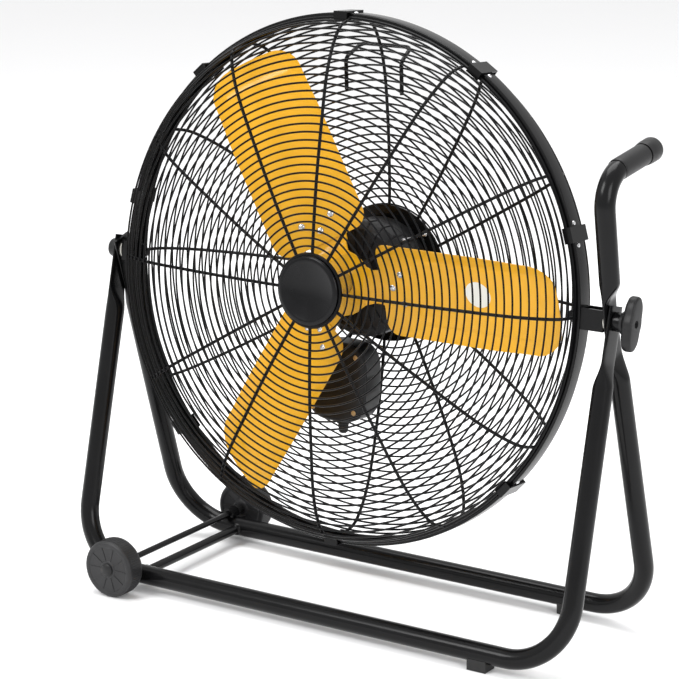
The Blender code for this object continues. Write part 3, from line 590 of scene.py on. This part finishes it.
def spaced(line, pitch):
    """Points along a line at an even pitch that divides it exactly."""
    lengths = [0.0]
    for a, b in zip(line, line[1:]):
        lengths.append(lengths[-1] + (b - a).length)
    count = round(lengths[-1] / pitch)
    found = []
    k = 0
    for i in range(count + 1):
        goal = lengths[-1] * i / count
        while k < len(line) - 2 and lengths[k + 1] < goal:
            k += 1
        t = (goal - lengths[k]) / (lengths[k + 1] - lengths[k])
        found.append(line[k].lerp(line[k + 1], t))
    return found


def guard(name, profile):
    """Concentric wires at an even pitch over a dished outline, on spokes inside them."""
    line = smooth_line(profile)
    rings = spaced(line, WIRE_PITCH)
    bm = bmesh.new()
    for i, (radius, depth) in enumerate(rings):
        thick = EDGE_RING_RADIUS if i in (0, len(rings) - 1) else RING_RADIUS
        ring_wire(bm, radius, depth, thick, 200 if radius > 0.15 else 120)
    inward = -math.copysign(1, profile[1][1])
    for k in range(SPOKES):
        turn = math.tau * k / SPOKES
        out = Vector((math.cos(turn), 0, math.sin(turn)))
        path = [out * r + AXIS_Y * (d + inward * (RING_RADIUS + SPOKE_RADIUS - SPOKE_OVERLAP))
                for r, d in line[::3] + [line[-1]]]
        wire(path, SPOKE_RADIUS, 8, bm)
    add(name + "_wires", bm, WIRE_BLACK, "head", place=HEAD, replaces=name, smooth=60)


guard("front_guard", FRONT_GUARD)
guard("rear_guard", REAR_GUARD)

for number in range(1, 9):
    dress(f"guard_clip_{number}", ENAMEL, 0.0006)
CLIP_SCREW_OFFSET = 2.25
SCREW_RADIUS = 0.0031
SCREW_HEIGHT = 0.0018
screws = bmesh.new()
for degrees in CLIP_ANGLES:
    for offset in (-CLIP_SCREW_OFFSET, CLIP_SCREW_OFFSET):
        turn = math.radians(degrees + offset)
        out = Vector((math.cos(turn), 0, math.sin(turn)))
        domed_head(SCREW_RADIUS, SCREW_HEIGHT, RIM_RADIUS - 0.0002, out, AXIS_Y * -0.003, screws)
add("clip_screws", screws, ZINC, "head", place=HEAD)

front = BADGE_FRONT
edge = BADGE_RADIUS
badge = [(0, front + 0.0014), (edge - 0.0090, front + 0.0014), (edge - 0.0073, front + 0.0002),
         (edge - 0.0050, front), (edge - 0.0020, front + 0.0003), (edge - 0.0004, front + 0.0014),
         (edge, front + 0.0028), (edge - 0.0005, front + 0.0040), (0.0300, front + 0.0042),
         (0.0300, BADGE_BOSS), (0, BADGE_BOSS)]
add("badge_fine", turned(badge, AXIS_Y, (0, 0, 0), 128), GLOSS, "head", place=HEAD,
    replaces="hub_badge", smooth=40)
dress("badge_backplate", ENAMEL)

HANDLE_RADIUS = 0.0026
HANDLE_CORNER = 0.009
HANDLE_LEFT = -0.062
HANDLE_RIGHT = 0.020
knots = [Vector((HANDLE_LEFT, 0.0788, 0.2300)), Vector((HANDLE_LEFT, 0.0745, 0.2710)),
         Vector((HANDLE_LEFT + 0.004, 0.1040, 0.2880)), Vector((HANDLE_RIGHT - 0.004, 0.1040, 0.2880)),
         Vector((HANDLE_RIGHT, 0.0755, 0.2710)), Vector((HANDLE_RIGHT, 0.0798, 0.2300))]
handle = [knots[0]]
for before, corner, after in zip(knots, knots[1:], knots[2:]):
    handle += rounded_corner(before, corner, after, HANDLE_CORNER, 10)
handle.append(knots[-1])
add("rear_handle_fine", wire(handle, HANDLE_RADIUS, 16), WIRE_BLACK, "head", place=HEAD,
    replaces="rear_carry_handle", smooth=60)


# ---------------------------------------------------------------- pivots

for side in ("left", "right"):
    dress("rim_bracket_" + side, ENAMEL, 0.0008)
    dress("pivot_gusset_" + side, ENAMEL, 0.0006)
    dress("tilt_bolt_" + side, ZINC, 0.0004)
    dress("friction_washer_" + side, NYLON, 0.0003)
SPACER_RADIUS = 0.0115
spacer_start = STAND_X + STACK_END + GAP
spacer_end = STAND_X + SPACER_END
spacer = [(BOLT_HOLE, spacer_start), (SPACER_RADIUS, spacer_start), (SPACER_RADIUS, spacer_end),
          (BOLT_HOLE, spacer_end)]
add("spacer_fine", turned(rounded_outline(spacer, 0.0008, 3), AXIS_X, (0, 0, 0), 64), ENAMEL, "head",
    place=HEAD, replaces="clamp_spacer")

KNOB_HUB = 0.0145
KNOB_WING = 0.0185
KNOB_TURN = math.radians(78)
KNOB_STEPS = 144
knob_start = STAND_X + SPACER_END + GAP
knob_end = STAND_X + KNOB_END
wing_start = knob_end - 0.0125
stations = [(knob_start, 0, 0.92), (knob_start + 0.0006, 0, 0.97), (wing_start - 0.001, 0, 1.0),
            (wing_start - 0.0004, 0.9, 0.90), (wing_start + 0.0010, 1.0, 0.97),
            (wing_start + 0.0030, 1.0, 1.0), (knob_end - 0.0030, 1.0, 1.0),
            (knob_end - 0.0012, 1.0, 0.98), (knob_end - 0.0003, 1.0, 0.93), (knob_end, 1.0, 0.86)]
rings = []
for x, winged, size in stations:
    ring = []
    for i in range(KNOB_STEPS):
        turn = math.tau * i / KNOB_STEPS
        wing = KNOB_WING * abs(math.cos(turn - KNOB_TURN)) ** 5
        radius = size * (KNOB_HUB + winged * wing)
        ring.append(Vector((x, radius * math.cos(turn), radius * math.sin(turn))))
    rings.append(ring)
for x in (knob_end - 0.0002, knob_end - 0.006):
    turns = [math.tau * i / KNOB_STEPS for i in range(KNOB_STEPS)]
    rings.append([Vector((x, BOLT_HOLE * math.cos(t), BOLT_HOLE * math.sin(t))) for t in turns])
add("knob_fine", lofted(rings), PLASTIC, "tilt_knob", place=HEAD, replaces="tilt_knob",
    smooth=40)
nut = [(0, STACK_END), (0.0125, STACK_END), (0.0125, CAP_NUT_END - 0.0050),
       (0.0118, CAP_NUT_END - 0.0026), (0.0095, CAP_NUT_END - 0.0009), (0.0060, CAP_NUT_END),
       (0, CAP_NUT_END)]
nut = [(r, STAND_X - d - (GAP if d == STACK_END else 0)) for r, d in nut]
add("pivot_cap_fine", turned(nut, AXIS_X, (0, 0, 0), 64), PLASTIC, "head", place=HEAD,
    replaces="pivot_cap_nut", smooth=40)


# ---------------------------------------------------------------- motor and switch box

r = MOTOR_RADIUS
cover = [(0.0084, MOTOR_FRONT + 0.002), (0.0084, MOTOR_FRONT), (0.022, MOTOR_FRONT),
         (0.026, MOTOR_FRONT + 0.004), (r - 0.010, MOTOR_FRONT + 0.004), (r, MOTOR_FRONT + 0.014),
         (r, MOTOR_SPLIT - GAP), (r - 0.003, MOTOR_SPLIT - GAP),
         (r - 0.012, MOTOR_FRONT + 0.010)]
add("motor_front_fine", turned(rounded_outline(cover, 0.0020, 4), AXIS_Y, (0, 0, 0), 128), MOTOR,
    "head", place=HEAD, replaces="motor_front_cover", smooth=45)
back = MOTOR_REAR
cover = [(0, back), (r - 0.010, back), (r, back - 0.010), (r, MOTOR_SPLIT), (r - 0.003, MOTOR_SPLIT),
         (r - 0.012, back - 0.008), (0, back - 0.008)]
add("motor_rear_fine", turned(cover, AXIS_Y, (0, 0, 0), 128), MOTOR, "head", place=HEAD,
    replaces="motor_rear_cover", smooth=45)
fins = bmesh.new()
MOTOR_FINS = 24
for k in range(MOTOR_FINS):
    turn = math.tau * (k + 0.5) / MOTOR_FINS
    out = Vector((math.cos(turn), 0, math.sin(turn)))
    round_way = Vector((-math.sin(turn), 0, math.cos(turn)))
    profile = [(0.0300, MOTOR_FRONT + 0.0050), (0.0300, MOTOR_FRONT + 0.0024),
               (r - 0.0110, MOTOR_FRONT + 0.0024), (r + 0.0012, MOTOR_FRONT + 0.0135),
               (r + 0.0012, MOTOR_SPLIT - 0.0030), (r - 0.0010, MOTOR_SPLIT - 0.0030),
               (r - 0.0010, MOTOR_FRONT + 0.0150), (r - 0.0115, MOTOR_FRONT + 0.0050)]
    prism(profile, -0.0008, 0.0008, lambda u, v, w: out * u + AXIS_Y * v + round_way * w, fins)
add("motor_fins", fins, MOTOR, "head", place=HEAD)
MOTOR_BOLT_RADIUS = 0.0810
bolts = bmesh.new()
for k in range(4):
    turn = math.radians(45 + 90 * k)
    centre = Vector((math.cos(turn), 0, math.sin(turn))) * MOTOR_BOLT_RADIUS
    rod(0.0040, MOTOR_REAR - 0.0030, MOTOR_REAR + 0.0003, AXIS_Y, centre, 6, 0.0004, bolts)
    rod(0.0016, MOTOR_FRONT + 0.0180, MOTOR_REAR - 0.0020, AXIS_Y, centre * 0.962, 16, 0.0003, bolts)
add("motor_bolts", bolts, ZINC, "head", place=HEAD)
dress("motor_mount_plate", ENAMEL, 0.0005)
for name in ("stator", "rotor_core", "front_bearing", "rear_bearing"):
    dress(name, STEEL)
dress("motor_shaft", ZINC, 0.0004)
dress("hub_bushing", ZINC, 0.0004)

middle = Vector((BOX_DISTANCE * math.cos(BOX_ANGLE), 0, BOX_DISTANCE * math.sin(BOX_ANGLE)))
BOX_STEPS = 112
BOX_SQUARENESS = 0.62


def box_ring(inset, depth):
    """A rounded-square outline of the switch box, smaller by the inset, at a depth."""
    points = []
    for i in range(BOX_STEPS):
        turn = math.tau * i / BOX_STEPS
        c, s = math.cos(turn), math.sin(turn)
        u = math.copysign(abs(c) ** BOX_SQUARENESS, c) * (BOX_HALF_WIDTH - inset)
        v = math.copysign(abs(s) ** BOX_SQUARENESS, s) * (BOX_HALF_HEIGHT - inset)
        points.append(middle + Vector((u, depth, v)))
    return points


case = [box_ring(0.0006, BOX_SPLIT), box_ring(0.0, BOX_SPLIT + 0.0006), box_ring(0.0, BOX_REAR - 0.006),
        box_ring(0.0008, BOX_REAR - 0.003), box_ring(0.0026, BOX_REAR - 0.001),
        box_ring(0.0050, BOX_REAR)]
add("box_case_fine", lofted(case), PLASTIC, "head", place=HEAD, replaces="control_box",
    smooth=45)
lid = [box_ring(0.0100, BOX_FRONT), box_ring(0.0060, BOX_FRONT + 0.0006),
       box_ring(0.0025, BOX_FRONT + 0.0022), box_ring(0.0006, BOX_FRONT + 0.0048),
       box_ring(0.0006, BOX_SPLIT - 0.0006), box_ring(0.0012, BOX_SPLIT - 0.0002)]
add("box_lid_fine", lofted(lid), PLASTIC, "head", place=HEAD, replaces="control_box_lid",
    smooth=45)
bosses = bmesh.new()
for u, v in ((-0.031, -0.036), (0.031, -0.036), (-0.031, 0.036), (0.031, 0.036)):
    domed_head(0.0034, 0.0012, 0.0, -AXIS_Y, middle + Vector((u, BOX_FRONT + 0.0004, v)), bosses)
add("box_lid_screws", bosses, BRASSY, "head", place=HEAD)
dress("speed_switch", NYLON, 0.0006)
dress("run_capacitor", NYLON, 0.0006)
dress("cable_gland", RUBBER, 0.0004)

DIAL_START = 0.1010
dial = [(0, DIAL_START - 0.0225), (0.0030, DIAL_START - 0.0225), (0.0030, DIAL_START), (0.0150, DIAL_START),
        (0.0155, DIAL_START + 0.0010), (0.0147, DIAL_START + 0.0090), (0.0138, DIAL_START + 0.0108),
        (0.0120, DIAL_START + 0.0120), (0, DIAL_START + 0.0120)]
bm = turned(dial, AXIS_Y, middle, 72)
DIAL_RIBS = 18
for k in range(DIAL_RIBS):
    turn = math.tau * k / DIAL_RIBS
    out = Vector((math.cos(turn), 0, math.sin(turn)))
    round_way = Vector((-math.sin(turn), 0, math.cos(turn)))
    rib = [(-0.0007, 0.0135), (0.0007, 0.0135), (0.0005, 0.01545), (-0.0005, 0.01545)]
    prism(rib, DIAL_START + 0.0015, DIAL_START + 0.0095,
          lambda u, v, w: middle + round_way * u + out * v + AXIS_Y * w, bm)
add("speed_knob_fine", bm, PLASTIC, "speed_knob", place=HEAD, replaces="speed_knob",
    smooth=40)


# ---------------------------------------------------------------- blades

THICK = 0.0014
HALF_CHORD = 0.0630
ROOT_CORNER = 0.020
TIP_CORNER = 0.030
PANEL_HALF_WIDTH = 0.0415
PANEL_START = 0.106
PANEL_END = 0.2745
PANEL_SLOPE = 0.004
PANEL_HEIGHT = 0.0013
RIVET_RADIUS = 0.0046
RIVET_HEIGHT = 0.0022
RIVETS = ((0.086, 0.0205), (0.072, 0.0), (0.086, -0.0205))
LABEL_REACH = 0.1960
LABEL_ACROSS = 0.0090
LABEL_STEPS = 48


def smoothstep(low, high, value):
    """0 below low, 1 above high, with a smooth change between."""
    t = min(max((value - low) / (high - low), 0.0), 1.0)
    return t * t * (3 - 2 * t)


def half_chord(reach):
    """Half the blade's width at a distance from the axis, with both ends rounded."""
    half = HALF_CHORD - 0.002 * smoothstep(0.20, BLADE_TIP - TIP_CORNER, reach)
    if reach < BLADE_ROOT + ROOT_CORNER:
        t = (BLADE_ROOT + ROOT_CORNER - reach) / ROOT_CORNER
        half -= ROOT_CORNER * (1 - math.sqrt(max(0.0, 1 - t * t)))
    if reach > BLADE_TIP - TIP_CORNER:
        t = (reach - BLADE_TIP + TIP_CORNER) / TIP_CORNER
        half -= TIP_CORNER * (1 - math.sqrt(max(0.0, 1 - t * t)))
    return half


def blade_frame(number):
    """A blade's directions: out along it, across its chord, and off its front face."""
    turn = math.tau * number / 3
    out = Vector((math.cos(turn), 0, math.sin(turn)))
    round_way = Vector((-math.sin(turn), 0, math.cos(turn)))
    chord = round_way * math.cos(BLADE_PITCH) - AXIS_Y * math.sin(BLADE_PITCH)
    return out, chord, out.cross(chord)


def blade_point(axes, reach, v, rise=0.0):
    """A point on the dished blade, with its raised panel, at a height over its middle surface."""
    out, chord, lift = axes
    edge = max(abs(v) / HALF_CHORD - PANEL_EDGE, 0.0) / (1 - PANEL_EDGE)
    bow = BLADE_CAMBER * (1 - edge * edge)
    drop = v * v / (2 * BLADE_TIP) * max(0.0, (reach - 0.20) / (BLADE_TIP - 0.20))
    inside = 1 - smoothstep(PANEL_HALF_WIDTH, PANEL_HALF_WIDTH + PANEL_SLOPE, abs(v))
    inside *= smoothstep(PANEL_START, PANEL_START + 0.005, reach)
    inside *= 1 - smoothstep(PANEL_END, PANEL_END + PANEL_SLOPE, reach)
    return (out * (reach - drop) + chord * v + AXIS_Y * BLADE_Y
            + lift * (rise - bow + PANEL_HEIGHT * inside))


def blade(number):
    """The sheet's front and back faces and the edge between them."""
    axes = blade_frame(number)
    reaches = [BLADE_ROOT + ROOT_CORNER * (1 - math.cos(math.pi / 2 * i / 10)) for i in range(11)]
    straight = BLADE_TIP - TIP_CORNER - BLADE_ROOT - ROOT_CORNER
    reaches += [BLADE_ROOT + ROOT_CORNER + straight * i / 90 for i in range(1, 91)]
    reaches += [BLADE_TIP - TIP_CORNER * (1 - math.sin(math.pi / 2 * i / 14)) for i in range(1, 15)]
    columns = 64
    bm = bmesh.new()
    front_rows, back_rows = [], []
    for reach in reaches:
        half = half_chord(reach)
        spread = [half * (2 * k / columns - 1) for k in range(columns + 1)]
        front_rows.append([bm.verts.new(blade_point(axes, reach, v, THICK / 2)) for v in spread])
        back_rows.append([bm.verts.new(blade_point(axes, reach, v, -THICK / 2)) for v in spread])
    for rows in (front_rows, back_rows):
        for low, high in zip(rows, rows[1:]):
            for k in range(columns):
                bm.faces.new((low[k], low[k + 1], high[k + 1], high[k]))
    rim_front = (front_rows[0] + [row[-1] for row in front_rows[1:]]
                 + front_rows[-1][-2::-1] + [row[0] for row in front_rows[-2:0:-1]])
    rim_back = (back_rows[0] + [row[-1] for row in back_rows[1:]]
                + back_rows[-1][-2::-1] + [row[0] for row in back_rows[-2:0:-1]])
    for i in range(len(rim_front)):
        j = (i + 1) % len(rim_front)
        bm.faces.new((rim_front[i], rim_front[j], rim_back[j], rim_back[i]))
    add(f"blade_fine_{number + 1}", bm, AMBER, "rotor", place=HEAD,
        replaces=f"blade_{number + 1}", smooth=50)


for number in range(3):
    blade(number)
heads = bmesh.new()
for number in range(3):
    axes = blade_frame(number)
    for reach, v in RIVETS:
        seat = blade_point(axes, reach, v, THICK / 2 - 0.0002)
        domed_head(RIVET_RADIUS, RIVET_HEIGHT, 0.0, axes[2], seat, heads)
add("blade_rivets", heads, ZINC, "rotor", place=HEAD)

axes = blade_frame(0)
label = bmesh.new()
rings = []
for radius, rise in ((0.0, 0.00025), (0.0060, 0.00025), (0.0120, 0.00025), (0.0173, 0.00022),
                     (0.0175, 0.0)):
    ring = []
    for k in range(LABEL_STEPS if radius else 1):
        turn = math.tau * k / LABEL_STEPS
        reach = LABEL_REACH + radius * math.cos(turn)
        v = LABEL_ACROSS + radius * math.sin(turn)
        ring.append(label.verts.new(blade_point(axes, reach, v, THICK / 2 + rise)))
    rings.append(ring)
for low, high in zip(rings, rings[1:]):
    for k in range(LABEL_STEPS):
        m = (k + 1) % LABEL_STEPS
        corners = (low[k % len(low)], low[m % len(low)], high[m], high[k])
        label.faces.new(list(dict.fromkeys(corners)))
add("blade_label", label, LABEL, "rotor", place=HEAD)
dress("blade_spider", AMBER, 0.0005)


# ---------------------------------------------------------------- floor, light and camera

floor_mesh = bmesh.new()
bmesh.ops.create_grid(floor_mesh, x_segments=1, y_segments=1, size=30)
mesh = bpy.data.meshes.new("floor")
floor_mesh.to_mesh(mesh)
floor_mesh.free()
mesh.materials.append(shader_material("pale_floor", (0.93, 0.93, 0.935), 0.75, mottle=0.004,
                                      mottle_scale=0.8, specular=0.2))
floor = bpy.data.objects.new("floor", mesh)
bpy.context.scene.collection.objects.link(floor)
floor.location.z = -0.0004

world = bpy.data.worlds.new("studio")
bpy.context.scene.world = world
world.use_nodes = True
world.node_tree.nodes["Background"].inputs["Color"].default_value = (1.0, 1.0, 1.0, 1)
world.node_tree.nodes["Background"].inputs["Strength"].default_value = 0.92


def soft_light(name, position, target, size, power):
    """A rectangular area light turned towards its target."""
    lamp = bpy.data.lights.new(name, "AREA")
    lamp.shape = "RECTANGLE"
    lamp.size, lamp.size_y = size
    lamp.energy = power
    obj = bpy.data.objects.new(name, lamp)
    bpy.context.scene.collection.objects.link(obj)
    obj.location = position
    obj.rotation_euler = (Vector(target) - Vector(position)).to_track_quat("-Z", "Y").to_euler()


soft_light("key", (-1.2, -2.6, 2.9), (0, 0, 0.35), (1.6, 1.6), 80)
soft_light("fill", (2.8, -1.2, 1.6), (0, 0, 0.35), (1.2, 1.6), 34)
soft_light("top", (-0.4, 0.6, 3.2), (0, 0, 0.2), (2.4, 2.0), 75)

azimuth, elevation = math.radians(33.63), math.radians(14.81)
roll = math.radians(-0.35)
distance = 3.2683
aim = Vector((-0.0328, 0, 0.347))
FRAME_PIXELS = 679
FOCAL_PIXELS = 2584.9
SENSOR = 36
away = Vector((math.sin(azimuth) * math.cos(elevation), -math.cos(azimuth) * math.cos(elevation),
               math.sin(elevation)))
right = (-away).cross(AXIS_Z).normalized()
up = right.cross(-away)
tilted_x = right * math.cos(roll) + up * math.sin(roll)
tilted_y = up * math.cos(roll) - right * math.sin(roll)
place = Matrix((tilted_x, tilted_y, away)).transposed().to_4x4()
place.translation = aim + away * distance
camera_data = bpy.data.cameras.new("camera")
camera_data.sensor_width = SENSOR
camera_data.lens = FOCAL_PIXELS * SENSOR / FRAME_PIXELS
camera = bpy.data.objects.new("camera", camera_data)
bpy.context.scene.collection.objects.link(camera)
camera.matrix_world = place
bpy.context.scene.camera = camera
bpy.context.scene.view_settings.view_transform = "Standard"
